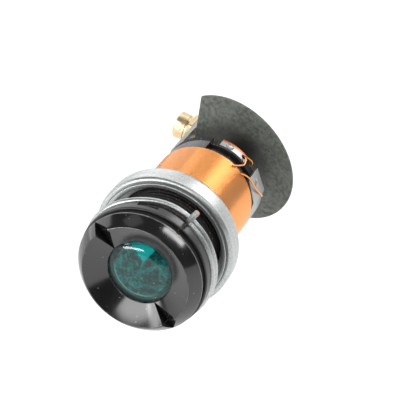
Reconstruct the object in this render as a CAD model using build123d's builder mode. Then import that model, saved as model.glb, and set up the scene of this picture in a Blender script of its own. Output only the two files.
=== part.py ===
from build123d import *
from math import asin, cos, degrees, radians, sin, tan
import os

# Panel pilot light: screw-in bezel and lens, moulded body with its own series resistor winding,
# wire spring ring and clamp nut for the panel, and a fibre disc over the connections at the back.
#
# Millimetres. The axis of the light is Y. The lens looks along -Y, Z is up on a vertical panel, and
# the origin is on the axis at the back of the body's flange. Angles are clock angles about that
# axis, in degrees from +X towards +Z.

os.makedirs("parts", exist_ok=True)

# Clearances shared by every fit
thread_clearance = 0.08
seat_clearance = 0.05
float_clearance = 0.1

# Body: flange, threaded neck, winding former, rear collar, back plate and the post behind it
flange_margin = 0.5
flange_thickness = 3.2
flange_edge = 0.4
notch_angle = 87.0
notch_width = 5.8
notch_length = 1.6
notch_neck_gap = 0.6
neck_radius = 15.0
neck_wall = 2.42
neck_length = 19.0
neck_chamfer = 0.7
former_step = 1.3
former_length = 21.0
collar_step = 0.7
collar_length = 4.7
back_plate_step = 1.6
back_plate_length = 2.7
recess_depth = 1.1
recess_from_angle = -37.0
recess_to_angle = 88.0
chamber_step = 2.98
bezel_thread_depth = 7.2
rear_wall = 9.4
post_radius = 4.5

# Bezel, a screw cap with a dished face, and what it holds
bezel_rim = 0.4
bezel_cone_width = 2.6
bezel_ridge_height = 3.25
bezel_ridge_round = 0.3
bezel_gasket_thickness = 1.65
bezel_gasket_width = 3.6
dish_width = 5.85
dish_depth = 3.2
window_ledge = 1.85
window_lip = 1.0
skirt_wall = 1.6
skirt_length = 7.5
groove_angle = 128.2
groove_wall_offset = 1.85
groove_slope_width = 4.15
groove_lip = 0.5
groove_below_window = 0.15
lens_gasket_thickness = 0.5
lens_flange_thickness = 1.4
lens_window_gap = 0.3
lens_dome_edge = 1.3
lens_dome_rise = 1.1
lens_recess_rim = 1.15
lens_recess_depth = 0.6
retainer_thickness = 1.2
retainer_width = 1.5

# Wire spring ring between the flange and the panel
ring_wire_radius = 0.8
ring_neck_gap = 2.0
ring_strand_gap = 0.5
ring_tang_angle = 51.8
ring_tang_reach = 4.5
ring_bend_radius = 1.5
ring_step_from_angle = 112.0
ring_step_to_angle = 64.0
ring_end_angle = -85.0

# Clamp nut and the thrust washer let into its front face
nut_rim = 1.55
nut_length = 8.0
nut_end_gap = 0.6
nut_front_round = 1.0
nut_back_round = 3.0
nut_relief_depth = 3.4
washer_bore_gap = 1.92
washer_width = 1.1
washer_thickness = 1.2
washer_proud = 0.4

# Resistance winding and its leads
winding_thickness = 1.0
winding_end_gap = 0.3
lead_radius = 0.28
lead_bend = 0.6
lead_slack = 0.3
lead_plate_gap = 0.5
lead_hole_inset = 4.4
lead_hole_angle = 31.0
lead_hole_depth = 1.6
lug_lead_grip = 2.0
lug_lead_angles = (51.0, 43.0, 41.0)
tab_lead_grip = 1.6
tab_lead_angles = (39.0, 32.0, 12.0)
tab_lead_past_fold = 5.0
tab_lead_overhang = 0.9
contact_lead_turn = 3.5

# Solder lug on the rim of the back plate
lug_thickness = 0.7
lug_length = 3.2
lug_overhang = 0.6
lug_from_angle = 41.0
lug_to_angle = 77.0
lug_hole_angle = 46.5
lug_hole_radius = 0.75

# Tab terminal, a plate folded once round the side of the back plate
tab_thickness = 0.8
tab_from_angle = -32.0
tab_to_angle = 26.0
tab_front_gap = 1.3
tab_overhang = 4.0
tab_slant = 3.0
tab_corner = 2.4

# Screw terminal, a strip bent back from the back plate past the disc
strip_angle = 164.0
strip_width = 6.4
strip_thickness = 1.1
strip_reach = 25.0
foot_post_gap = 2.4
strip_bend = 1.3
strip_corner = 2.0
clamp_size = 7.2
clamp_thickness = 1.2
terminal_washer_radius = 3.6
terminal_washer_thickness = 0.8
terminal_from_strip_end = 4.6
terminal_screw_radius = 1.95
terminal_screw_length = 7.0
terminal_head_radius = 3.95
terminal_head_height = 3.2
terminal_slot_width = 1.3
terminal_slot_depth = 1.9
terminal_slot_angle = 35.0

# Rivets that hold the lug, the tab and the strip
rivet_radius = 0.8
rivet_grip = 2.4
rivet_head_height = 0.4
lug_rivet_angle = 66.0
lug_rivet_head = 1.2
tab_rivet_head = 1.5
foot_rivet_head = 1.7

# Fibre disc, which leans as it sits on the post, and its screw
disc_radius = 20.65
disc_thickness = 0.8
post_length = 15.2
disc_lean_right_angle = 12.9
disc_lean_up_angle = 8.75
disc_flat_angle = 166.0
strip_disc_gap = 0.5
disc_washer_radius = 4.2
disc_washer_thickness = 0.8
disc_screw_radius = 1.95
disc_screw_length = 9.0
disc_head_radius = 3.4
disc_head_height = 2.2
disc_slot_width = 1.0
disc_slot_depth = 1.1

# Lamp with a screw base, its brass socket and the contact behind it
lamp_length = 28.0
lamp_bulb_radius = 5.0
lamp_base_radius = 4.6
lamp_base_length = 10.0
lamp_shoulder = 2.0
lamp_tip_radius = 1.6
lamp_tip_length = 0.9
socket_wall = 0.4
socket_length = 13.0
socket_flange_gap = 1.4
socket_flange_thickness = 0.8
insulator_thickness = 1.2
contact_head_radius = 2.2
contact_head_thickness = 0.6
contact_stem_radius = 1.4
contact_stem_length = 5.0

# Stations along the axis
bezel_back = -flange_thickness - bezel_gasket_thickness - float_clearance
bezel_rim_front = bezel_back - bezel_rim
bezel_ridge = bezel_rim_front - bezel_ridge_height
window_edge = bezel_ridge + dish_depth
lens_seat = window_edge + window_lip
lens_gasket_front = lens_seat + seat_clearance
lens_front = lens_gasket_front + lens_gasket_thickness
lens_back = lens_front + lens_flange_thickness
skirt_end = bezel_back + skirt_length
bezel_thread_end = -flange_thickness + bezel_thread_depth
collar_front = neck_length + former_length
collar_back = collar_front + collar_length
back_face = collar_back + back_plate_length
disc_y = back_face + post_length
chamber_end = back_face - rear_wall
nut_back = neck_length - nut_end_gap
nut_front = nut_back - nut_length
insulator_front = chamber_end - insulator_thickness
contact_front = insulator_front - contact_head_thickness
lamp_back = contact_front - seat_clearance
lug_back = back_face + lug_overhang
tab_front = collar_front + tab_front_gap
tab_back = back_face + tab_overhang
strip_end = back_face + strip_reach
terminal_y = strip_end - terminal_from_strip_end

# Radii that follow from what a piece sits in or on
thread_bore_radius = neck_radius - neck_wall
chamber_radius = thread_bore_radius - chamber_step
former_radius = neck_radius - former_step
collar_radius = neck_radius - collar_step
back_plate_radius = neck_radius - back_plate_step
recess_floor_radius = former_radius - recess_depth
skirt_radius = thread_bore_radius - thread_clearance
lens_bore_radius = skirt_radius - skirt_wall
window_radius = lens_bore_radius - window_ledge
bezel_ridge_radius = window_radius + dish_width
bezel_radius = bezel_ridge_radius + bezel_cone_width
flange_radius = bezel_radius + flange_margin
ring_radius = neck_radius + ring_neck_gap + ring_wire_radius
nut_bore_radius = neck_radius + thread_clearance
washer_inner_radius = nut_bore_radius + washer_bore_gap
washer_outer_radius = washer_inner_radius + washer_width
nut_recess_radius = washer_outer_radius + seat_clearance
nut_radius = nut_recess_radius + nut_rim
winding_radius = former_radius + seat_clearance + winding_thickness
lug_inner_radius = back_plate_radius + seat_clearance
lug_outer_radius = lug_inner_radius + lug_thickness
strip_radius = back_plate_radius
strip_outer_radius = strip_radius + strip_thickness
strip_foot_radius = post_radius + foot_post_gap
disc_flat_distance = strip_radius - strip_disc_gap
clamp_outer_radius = strip_outer_radius + clamp_thickness
terminal_seat_radius = clamp_outer_radius + terminal_washer_thickness
rivet_hole_radius = rivet_radius + seat_clearance
lead_hole_radius = lead_radius + float_clearance
lead_hole_radial = back_plate_radius - lead_hole_inset
socket_flange_radius = chamber_radius - socket_flange_gap
lead_on_winding = winding_radius + lead_radius + seat_clearance

# The tab's two flats stand just clear of the back plate's rim
tab_fold_angle = (tab_from_angle + tab_to_angle) / 2
tab_folds = [radians(a) for a in (tab_from_angle, tab_fold_angle, tab_to_angle)]
tab_flat_turn = radians((tab_to_angle - tab_from_angle) / 4)
tab_flat_radius = back_plate_radius + seat_clearance
tab_inner_radius = tab_flat_radius / cos(tab_flat_turn)
tab_outer_radius = (tab_flat_radius + tab_thickness) / cos(tab_flat_turn)
lug_middle = lug_back - lug_length / 2

# The disc's seat is square to the leaning end of the post
disc_seat = Plane(
    origin=(0, disc_y, 0),
    x_dir=(1, -tan(radians(disc_lean_right_angle)), 0),
    z_dir=(tan(radians(disc_lean_right_angle)), 1, tan(radians(disc_lean_up_angle))),
)


def at(angle, radius, y):
    """A point at a clock angle and radius from the axis."""
    return (radius * cos(radians(angle)), y, radius * sin(radians(angle)))


def side_plane(angle, radius=0.0, y=0.0):
    """A plane square to a radius of the light: its x runs back along the axis, its y round it."""
    return Plane(origin=at(angle, radius, y), x_dir=(0, 1, 0), z_dir=at(angle, 1, 0))


def section_plane(angle):
    """A plane through the axis: its x is the radius at this angle, its y runs back."""
    return Plane(origin=(0, 0, 0), x_dir=at(angle, 1, 0), z_dir=at(angle + 90, 1, 0))


def across(y):
    """A plane across the axis, drawn in X and Z, whose extrusions run forward."""
    return Plane.XZ.offset(-y)


def ring_sector(inner, outer, from_angle, to_angle):
    """Draw a stretch of a ring between two clock angles in the sketch that is open."""
    with BuildLine() as outline:
        outer_arc = CenterArc((0, 0), outer, from_angle, to_angle - from_angle)
        inner_arc = CenterArc((0, 0), inner, from_angle, to_angle - from_angle)
        Line(outer_arc @ 0, inner_arc @ 0)
        Line(outer_arc @ 1, inner_arc @ 1)
    make_face(outline.edges())


def plain_ring(inner, outer, front, back):
    """A washer or gasket about the axis of the light."""
    with BuildPart() as ring:
        with BuildSketch(across(back)):
            Circle(outer)
            Circle(inner, mode=Mode.SUBTRACT)
        extrude(amount=back - front)
    return ring


def slotted_screw(seat, shank, length, head, height, slot, slot_depth, slot_angle):
    """A cheese-head screw: the head stands on the seat plane and the shank goes down through it."""
    with BuildPart() as screw:
        with BuildSketch(seat):
            Circle(head)
        extrude(amount=height)
        top = screw.faces().sort_by(Axis(seat.origin, seat.z_dir))[-1]
        chamfer(top.edges(), height / 6)
        with BuildSketch(seat):
            Circle(shank)
        extrude(amount=-length)
        with BuildSketch(seat.offset(height)):
            Rectangle(3 * head, slot, rotation=slot_angle)
        extrude(amount=-slot_depth, mode=Mode.SUBTRACT)
    return screw


def wire_lead(points):
    """A round wire along straight runs joined by small bends."""
    with BuildPart() as lead:
        with BuildLine() as path:
            FilletPolyline(*points, radius=lead_bend)
        with BuildSketch(Plane(origin=path.line @ 0, z_dir=path.line % 0)):
            Circle(lead_radius)
        sweep(path=path.line)
    return lead


# Each rivet's head stands on the outside of the piece that it holds to the body
plate_middle = (collar_back + back_face) / 2
tab_rivet_angle = (tab_fold_angle + tab_to_angle) / 2
foot_rivet_radial = strip_foot_radius + 2 * rivet_radius
rivet_seats = {
    "lug": side_plane(lug_rivet_angle, lug_outer_radius, plate_middle),
    "tab": side_plane(tab_rivet_angle, tab_flat_radius + tab_thickness, plate_middle),
    "foot": Plane(
        origin=at(strip_angle, foot_rivet_radial, back_face + strip_thickness),
        x_dir=at(strip_angle, 1, 0),
        z_dir=(0, 1, 0),
    ),
}

# Body: one moulding, turned in section, with the notch, recess and holes cut afterwards
with BuildPart() as body:
    with BuildSketch():
        with BuildLine():
            Polyline(
                (thread_bore_radius, -flange_thickness),
                (flange_radius, -flange_thickness),
                (flange_radius, 0),
                (neck_radius, 0),
                (neck_radius, neck_length - neck_chamfer),
                (neck_radius - neck_chamfer, neck_length),
                (former_radius, neck_length),
                (former_radius, collar_front),
                (collar_radius, collar_front),
                (collar_radius, back_face),
                (0, back_face),
                (0, chamber_end),
                (chamber_radius, chamber_end),
                (chamber_radius, bezel_thread_end),
                (thread_bore_radius, bezel_thread_end),
                close=True,
            )
        make_face()
    revolve(axis=Axis.Y)
    circles = body.edges().filter_by(GeomType.CIRCLE)
    chamfer(circles.filter_by(lambda edge: abs(edge.radius - flange_radius) < 0.01), flange_edge)
    # Locating notch in the back edge of the flange
    with BuildSketch(side_plane(notch_angle, neck_radius + notch_neck_gap)):
        with Locations((-notch_length / 2, 0)):
            Rectangle(notch_length, notch_width)
    extrude(amount=flange_radius, mode=Mode.SUBTRACT)
    # Recess through the collar for the winding's ends
    with BuildSketch(across(collar_back)):
        ring_sector(recess_floor_radius, flange_radius, recess_from_angle, recess_to_angle)
    extrude(amount=collar_length, mode=Mode.SUBTRACT)
    # Seat for the lug and the tab, where the back plate's rim steps in
    with BuildSketch(across(back_face)):
        ring_sector(back_plate_radius, flange_radius, recess_from_angle, recess_to_angle)
    extrude(amount=back_plate_length, mode=Mode.SUBTRACT)
    # Post for the disc, cut off square to the disc's lean
    with BuildSketch(across(disc_y + post_radius)):
        Circle(post_radius)
    extrude(amount=disc_y + post_radius - back_face)
    split(bisect_by=disc_seat, keep=Keep.BOTTOM)
    with BuildSketch(disc_seat):
        Circle(disc_screw_radius + seat_clearance)
    extrude(amount=-disc_screw_length, mode=Mode.SUBTRACT)
    # Holes for the lamp contact, the contact lead and the rivets
    with BuildSketch(across(chamber_end + contact_stem_length + seat_clearance)):
        Circle(contact_stem_radius + seat_clearance)
    extrude(amount=contact_stem_length + seat_clearance, mode=Mode.SUBTRACT)
    with BuildSketch(across(back_face)):
        with PolarLocations(lead_hole_radial, 1, start_angle=lead_hole_angle):
            Circle(lead_hole_radius)
    extrude(amount=lead_hole_depth, mode=Mode.SUBTRACT)
    for seat in rivet_seats.values():
        with BuildSketch(seat):
            Circle(rivet_hole_radius)
        extrude(amount=-rivet_grip - seat_clearance, mode=Mode.SUBTRACT)
body.part.label = "body"
export_step(body.part, "parts/body.step")

# Gasket between the flange and the bezel's rim
gasket_inner_radius = bezel_radius - bezel_rim - bezel_gasket_width
bezel_gasket = plain_ring(
    gasket_inner_radius,
    gasket_inner_radius + bezel_gasket_width,
    -flange_thickness - bezel_gasket_thickness,
    -flange_thickness,
)
bezel_gasket.part.label = "bezel_gasket"
export_step(bezel_gasket.part, "parts/bezel_gasket.step")

# Bezel: a dished cap on a threaded skirt. One cut right across its face leaves two spanner grooves,
# each with a steep wall and a slope
with BuildPart() as bezel:
    with BuildSketch() as bezel_section:
        with BuildLine():
            Polyline(
                (window_radius, window_edge),
                (bezel_ridge_radius, bezel_ridge),
                (bezel_radius, bezel_rim_front),
                (bezel_radius, bezel_back),
                (skirt_radius, bezel_back),
                (skirt_radius, skirt_end),
                (lens_bore_radius, skirt_end),
                (lens_bore_radius, lens_seat),
                (window_radius, lens_seat),
                close=True,
            )
        make_face()
        ridge_corner = bezel_section.vertices().sort_by(Axis.Y)[0]
        fillet(ridge_corner, bezel_ridge_round)
    revolve(axis=Axis.Y)
    groove_bottom = window_edge + groove_below_window
    groove_mouth = bezel_ridge - bezel_rim
    groove_slope_end = groove_slope_width - groove_wall_offset
    with BuildSketch(section_plane(groove_angle - 90)):
        with BuildLine():
            Polyline(
                (-groove_wall_offset, groove_mouth),
                (-groove_wall_offset, groove_bottom),
                (groove_slope_end, bezel_ridge + groove_lip),
                (groove_slope_end, groove_mouth),
                close=True,
            )
        make_face()
    extrude(amount=2 * bezel_radius, both=True, mode=Mode.SUBTRACT)
bezel.part.label = "bezel"
export_step(bezel.part, "parts/bezel.step")

# Lens: a domed glass with a flange behind the bezel's lip and a shallow recess in its back
lens_radius = lens_bore_radius - float_clearance
dome_radius = window_radius - lens_window_gap
lens_recess_radius = dome_radius - lens_recess_rim
dome_edge = lens_front - lens_dome_edge
with BuildPart() as lens:
    with BuildSketch():
        with BuildLine():
            rim = Polyline(
                (0, lens_back - lens_recess_depth),
                (lens_recess_radius, lens_back - lens_recess_depth),
                (lens_recess_radius, lens_back),
                (lens_radius, lens_back),
                (lens_radius, lens_front),
                (dome_radius, lens_front),
                (dome_radius, dome_edge),
            )
            dome_sphere = (dome_radius**2 + lens_dome_rise**2) / (2 * lens_dome_rise)
            half_angle = asin(dome_radius / dome_sphere) / 2
            dome_top = dome_edge - lens_dome_rise
            halfway = (dome_sphere * sin(half_angle), dome_top + dome_sphere * (1 - cos(half_angle)))
            ThreePointArc(rim @ 1, halfway, (0, dome_top))
            Line((0, dome_top), rim @ 0)
        make_face()
    revolve(axis=Axis.Y)
lens.part.label = "lens"
export_step(lens.part, "parts/lens.step")

# Gasket under the bezel's lip, and the ring pressed into the skirt behind the lens
lens_gasket = plain_ring(window_radius + float_clearance, lens_radius, lens_gasket_front, lens_front)
lens_gasket.part.label = "lens_gasket"
export_step(lens_gasket.part, "parts/lens_gasket.step")

retainer_front = lens_back + seat_clearance
lens_retainer = plain_ring(
    lens_bore_radius - retainer_width,
    lens_bore_radius,
    retainer_front,
    retainer_front + retainer_thickness,
)
lens_retainer.part.label = "lens_retainer"
export_step(lens_retainer.part, "parts/lens_retainer.step")

# Spring ring: about one and a half turns of wire, with one end bent out as a tang
ring_front_y = ring_wire_radius + seat_clearance
ring_back_y = ring_front_y + 2 * ring_wire_radius + ring_strand_gap
bend_centre_radius = ring_radius + ring_bend_radius
bend_turn = degrees(asin(ring_bend_radius / bend_centre_radius))
bend_end_angle = ring_tang_angle - bend_turn
bend_start_radius = bend_centre_radius * cos(radians(bend_turn))
step_turn = ring_step_from_angle - ring_step_to_angle
step_points = []
for share in (0, 0.25, 0.5, 0.75, 1):
    rise = share * share * (3 - 2 * share)
    step_angle = ring_step_from_angle - share * step_turn
    step_points.append(at(step_angle, ring_radius, ring_front_y + rise * (ring_back_y - ring_front_y)))
with BuildPart() as spring_ring:
    # The tang, and the bend from it into the front strand
    with BuildSketch(side_plane(ring_tang_angle, bend_start_radius, ring_front_y)) as bend_section:
        Circle(ring_wire_radius)
    extrude(amount=ring_radius + ring_tang_reach - bend_start_radius)
    bend_axis = Axis(at(bend_end_angle, bend_centre_radius, ring_front_y), (0, -1, 0))
    revolve(bend_section.sketch, axis=bend_axis, revolution_arc=90 - bend_turn)
    # The front strand, all but a full turn
    with BuildSketch(section_plane(bend_end_angle)):
        with Locations((ring_radius, ring_front_y)):
            Circle(ring_wire_radius)
    revolve(axis=Axis.Y, revolution_arc=bend_end_angle + 360 - ring_step_from_angle)
    # The step from the front strand to the back one
    with BuildLine() as step_path:
        Spline(
            *step_points,
            tangents=(at(ring_step_from_angle - 90, 1, 0), at(ring_step_to_angle - 90, 1, 0)),
        )
    with BuildSketch(Plane(origin=step_path.line @ 0, z_dir=step_path.line % 0)):
        Circle(ring_wire_radius)
    sweep(path=step_path.line)
    # The back strand, which ends at the bottom
    with BuildSketch(section_plane(ring_step_to_angle)):
        with Locations((ring_radius, ring_back_y)):
            Circle(ring_wire_radius)
    revolve(axis=Axis.Y, revolution_arc=ring_step_to_angle - ring_end_angle)
spring_ring.part.label = "spring_ring"
export_step(spring_ring.part, "parts/spring_ring.step")

# Clamp nut: a rounded casting with a relief in front of its thread and a recess for the washer
nut_recess_bottom = nut_front + washer_thickness - washer_proud + seat_clearance
nut_relief_bottom = nut_front + nut_relief_depth
with BuildPart() as clamp_nut:
    with BuildSketch() as nut_section:
        with BuildLine():
            Polyline(
                (nut_bore_radius, nut_relief_bottom),
                (washer_inner_radius, nut_relief_bottom),
                (washer_inner_radius, nut_recess_bottom),
                (nut_recess_radius, nut_recess_bottom),
                (nut_recess_radius, nut_front),
                (nut_radius, nut_front),
                (nut_radius, nut_back),
                (nut_bore_radius, nut_back),
                close=True,
            )
        make_face()
        outer_corners = nut_section.vertices().group_by(Axis.X)[-1].sort_by(Axis.Y)
        fillet(outer_corners[0], nut_front_round)
        fillet(nut_section.vertices().sort_by_distance((nut_radius, nut_back))[0], nut_back_round)
    revolve(axis=Axis.Y)
clamp_nut.part.label = "clamp_nut"
export_step(clamp_nut.part, "parts/clamp_nut.step")

thrust_front = nut_front - washer_proud
thrust_washer = plain_ring(
    washer_inner_radius, washer_outer_radius, thrust_front, thrust_front + washer_thickness
)
thrust_washer.part.label = "thrust_washer"
export_step(thrust_washer.part, "parts/thrust_washer.step")

# Winding: the close-wound layer of resistance wire on the former, as one sleeve
winding = plain_ring(
    former_radius + seat_clearance,
    winding_radius,
    neck_length + winding_end_gap,
    collar_front - winding_end_gap,
)
winding.part.label = "winding"
export_step(winding.part, "parts/winding.step")

# Solder lug: a curved strip on the rim of the back plate, with a hole for the winding's end
with BuildPart() as solder_lug:
    with BuildSketch(across(lug_back)):
        ring_sector(lug_inner_radius, lug_outer_radius, lug_from_angle, lug_to_angle)
    extrude(amount=lug_length)
    with BuildSketch(side_plane(lug_hole_angle, y=lug_middle)):
        Circle(lug_hole_radius)
    extrude(amount=2 * lug_outer_radius, mode=Mode.SUBTRACT)
    with BuildSketch(rivet_seats["lug"]):
        Circle(rivet_hole_radius)
    extrude(amount=-lug_thickness - seat_clearance, mode=Mode.SUBTRACT)
solder_lug.part.label = "solder_lug"
export_step(solder_lug.part, "parts/solder_lug.step")

# Tab terminal: a plate folded once, so that both of its flats lie on the back plate's rim
tab_half_width = tab_outer_radius * sin(radians((tab_to_angle - tab_from_angle) / 2))
with BuildPart() as tab_terminal:
    with BuildSketch(across(tab_back)):
        with BuildLine():
            inner_line = Polyline(
                *[(tab_inner_radius * cos(a), tab_inner_radius * sin(a)) for a in tab_folds]
            )
            outer_line = Polyline(
                *[(tab_outer_radius * cos(a), tab_outer_radius * sin(a)) for a in tab_folds]
            )
            Line(inner_line @ 0, outer_line @ 0)
            Line(inner_line @ 1, outer_line @ 1)
        make_face()
    extrude(amount=tab_back - tab_front)
    # The back edge slants, and its lower corner is cut off
    with BuildSketch(side_plane((tab_from_angle + tab_to_angle) / 2)):
        with BuildLine():
            Polyline(
                (tab_back - tab_slant, tab_half_width),
                (tab_back, tab_corner / 2 - tab_half_width),
                (tab_back - tab_corner, -tab_half_width),
                (tab_back - tab_corner, -2 * tab_half_width),
                (tab_back + tab_corner, -2 * tab_half_width),
                (tab_back + tab_corner, tab_half_width),
                close=True,
            )
        make_face()
    extrude(amount=2 * tab_outer_radius, mode=Mode.SUBTRACT)
    with BuildSketch(rivet_seats["tab"]):
        Circle(rivet_hole_radius)
    extrude(amount=-tab_thickness - seat_clearance, mode=Mode.SUBTRACT)
tab_terminal.part.label = "tab_terminal"
export_step(tab_terminal.part, "parts/tab_terminal.step")

# Screw terminal: a strip whose foot lies on the back plate, bent to run back past the disc's flat
with BuildPart() as terminal_strip:
    with BuildSketch(section_plane(strip_angle)) as strip_section:
        with BuildLine():
            Polyline(
                (strip_foot_radius, back_face),
                (strip_outer_radius, back_face),
                (strip_outer_radius, strip_end),
                (strip_radius, strip_end),
                (strip_radius, back_face + strip_thickness),
                (strip_foot_radius, back_face + strip_thickness),
                close=True,
            )
        make_face()
    extrude(amount=strip_width / 2, both=True)
    across_strip = Axis((0, 0, 0), at(strip_angle + 90, 1, 0))
    bend_edges = terminal_strip.edges().filter_by(across_strip)
    outer_bend = bend_edges.sort_by_distance(at(strip_angle, strip_outer_radius, back_face))[0]
    fillet(outer_bend, strip_bend)
    through_strip = Axis((0, 0, 0), at(strip_angle, 1, 0))
    end_corners = terminal_strip.edges().filter_by(through_strip).group_by(Axis.Y)[-1]
    fillet(end_corners, strip_corner)
    with BuildSketch(side_plane(strip_angle, y=terminal_y)):
        Circle(terminal_screw_radius + seat_clearance)
    extrude(amount=2 * strip_outer_radius, mode=Mode.SUBTRACT)
    with BuildSketch(rivet_seats["foot"]):
        Circle(rivet_hole_radius)
    extrude(amount=-strip_thickness - seat_clearance, mode=Mode.SUBTRACT)
terminal_strip.part.label = "terminal_strip"
export_step(terminal_strip.part, "parts/terminal_strip.step")

# Square wire clamp, washer and screw on the outside of the strip
with BuildPart() as wire_clamp:
    with BuildSketch(side_plane(strip_angle, strip_outer_radius, terminal_y)):
        RectangleRounded(clamp_size, clamp_size, clamp_size / 8)
        Circle(terminal_screw_radius + seat_clearance, mode=Mode.SUBTRACT)
    extrude(amount=clamp_thickness)
wire_clamp.part.label = "wire_clamp"
export_step(wire_clamp.part, "parts/wire_clamp.step")

with BuildPart() as terminal_washer:
    with BuildSketch(side_plane(strip_angle, clamp_outer_radius, terminal_y)):
        Circle(terminal_washer_radius)
        Circle(terminal_screw_radius + seat_clearance, mode=Mode.SUBTRACT)
    extrude(amount=terminal_washer_thickness)
terminal_washer.part.label = "terminal_washer"
export_step(terminal_washer.part, "parts/terminal_washer.step")

terminal_screw = slotted_screw(
    side_plane(strip_angle, terminal_seat_radius, terminal_y),
    terminal_screw_radius,
    terminal_screw_length,
    terminal_head_radius,
    terminal_head_height,
    terminal_slot_width,
    terminal_slot_depth,
    terminal_slot_angle,
)
terminal_screw.part.label = "terminal_screw"
export_step(terminal_screw.part, "parts/terminal_screw.step")

# Rivets of the lug, the tab and the strip, one solid each
rivet_heads = {"lug": lug_rivet_head, "tab": tab_rivet_head, "foot": foot_rivet_head}
with BuildPart() as terminal_rivets:
    for name, seat in rivet_seats.items():
        with BuildSketch(seat):
            Circle(rivet_heads[name])
        extrude(amount=rivet_head_height)
        with BuildSketch(seat):
            Circle(rivet_radius)
        extrude(amount=-rivet_grip)
terminal_rivets.part.label = "terminal_rivets"
export_step(terminal_rivets.part, "parts/terminal_rivets.step")

# Leads: the winding's two ends, and the wire from the lug to the lamp contact
lug_lead = wire_lead(
    [
        at(lug_lead_angles[0], lead_on_winding, collar_front - lug_lead_grip),
        at(lug_lead_angles[1], lead_on_winding, collar_front + 0.3 * collar_length),
        at(lug_lead_angles[2], lead_on_winding, collar_front + 0.7 * collar_length),
        at(lug_hole_angle, lead_on_winding, lug_middle),
        at(lug_hole_angle, lug_inner_radius + lead_radius, lug_middle),
    ]
)
lug_lead.part.label = "lug_lead"
export_step(lug_lead.part, "parts/lug_lead.step")

lead_over_fold = tab_outer_radius + lead_radius + seat_clearance
tab_end_radius = (tab_flat_radius + tab_thickness) / cos(tab_flat_turn - radians(tab_lead_past_fold))
tab_lead = wire_lead(
    [
        at(tab_lead_angles[0], lead_on_winding, collar_front - tab_lead_grip),
        at(tab_lead_angles[1], lead_over_fold + lead_slack, collar_front + 0.15 * collar_length),
        at(tab_lead_angles[2], lead_over_fold, collar_front + 0.55 * collar_length),
        at(tab_fold_angle, lead_over_fold, collar_back + 0.75 * back_plate_length),
        at(
            tab_fold_angle - tab_lead_past_fold,
            tab_end_radius + lead_radius + 2 * seat_clearance,
            back_face + tab_lead_overhang,
        ),
    ]
)
tab_lead.part.label = "tab_lead"
export_step(tab_lead.part, "parts/tab_lead.step")

lead_on_lug = lug_outer_radius + lead_radius + seat_clearance
lead_behind_plate = back_face + lead_radius + lead_plate_gap
contact_lead = wire_lead(
    [
        at(lug_from_angle + contact_lead_turn, lead_on_lug, lug_middle + lug_hole_radius / 2),
        at(lug_from_angle - contact_lead_turn, lead_on_lug, lead_behind_plate),
        at(lead_hole_angle, back_plate_radius + lead_slack, lead_behind_plate),
        at(lead_hole_angle, lead_hole_radial, lead_behind_plate),
        at(lead_hole_angle, lead_hole_radial, back_face - lead_hole_depth + seat_clearance),
    ]
)
contact_lead.part.label = "contact_lead"
export_step(contact_lead.part, "parts/contact_lead.step")

# Fibre disc: round, with one flat where the strip passes, held to the post by a screw and washer
with BuildPart() as fibre_disc:
    with BuildSketch(disc_seat):
        Circle(disc_radius)
        with PolarLocations(disc_flat_distance + disc_radius / 2, 1, start_angle=-disc_flat_angle):
            Rectangle(disc_radius, 3 * disc_radius, mode=Mode.SUBTRACT)
        Circle(disc_screw_radius + float_clearance, mode=Mode.SUBTRACT)
    extrude(amount=disc_thickness)
fibre_disc.part.label = "fibre_disc"
export_step(fibre_disc.part, "parts/fibre_disc.step")

with BuildPart() as disc_washer:
    with BuildSketch(disc_seat.offset(disc_thickness)):
        Circle(disc_washer_radius)
        Circle(disc_screw_radius + float_clearance, mode=Mode.SUBTRACT)
    extrude(amount=disc_washer_thickness)
disc_washer.part.label = "disc_washer"
export_step(disc_washer.part, "parts/disc_washer.step")

disc_screw = slotted_screw(
    disc_seat.offset(disc_thickness + disc_washer_thickness),
    disc_screw_radius,
    disc_screw_length,
    disc_head_radius,
    disc_head_height,
    disc_slot_width,
    disc_slot_depth,
    0,
)
disc_screw.part.label = "disc_screw"
export_step(disc_screw.part, "parts/disc_screw.step")

# Lamp: sealed bulb and screw base, one solid
lamp_front = lamp_back - lamp_length
base_back = lamp_back - lamp_tip_length
base_front = base_back - lamp_base_length
with BuildPart() as lamp:
    with BuildSketch():
        with BuildLine():
            base = Polyline(
                (0, lamp_back),
                (lamp_tip_radius, lamp_back),
                (lamp_tip_radius, base_back),
                (lamp_base_radius, base_back - lamp_tip_length),
                (lamp_base_radius, base_front),
                (lamp_bulb_radius, base_front - lamp_shoulder),
                (lamp_bulb_radius, lamp_front + lamp_bulb_radius),
            )
            TangentArc(base @ 1, (0, lamp_front), tangent=(0, -1))
            Line((0, lamp_front), base @ 0)
        make_face()
    revolve(axis=Axis.Y)
lamp.part.label = "lamp"
export_step(lamp.part, "parts/lamp.step")

# Socket shell on the end wall of the chamber, the insulator in it and the contact through both
socket_inner_radius = lamp_base_radius + thread_clearance
flange_front = chamber_end - socket_flange_thickness
with BuildPart() as lamp_socket:
    with BuildSketch():
        with BuildLine():
            Polyline(
                (socket_inner_radius, chamber_end - socket_length),
                (socket_inner_radius + socket_wall, chamber_end - socket_length),
                (socket_inner_radius + socket_wall, flange_front),
                (socket_flange_radius, flange_front),
                (socket_flange_radius, chamber_end),
                (socket_inner_radius, chamber_end),
                close=True,
            )
        make_face()
    revolve(axis=Axis.Y)
lamp_socket.part.label = "lamp_socket"
export_step(lamp_socket.part, "parts/lamp_socket.step")

socket_insulator = plain_ring(
    contact_stem_radius + seat_clearance,
    socket_inner_radius - seat_clearance,
    insulator_front,
    chamber_end,
)
socket_insulator.part.label = "socket_insulator"
export_step(socket_insulator.part, "parts/socket_insulator.step")

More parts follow.
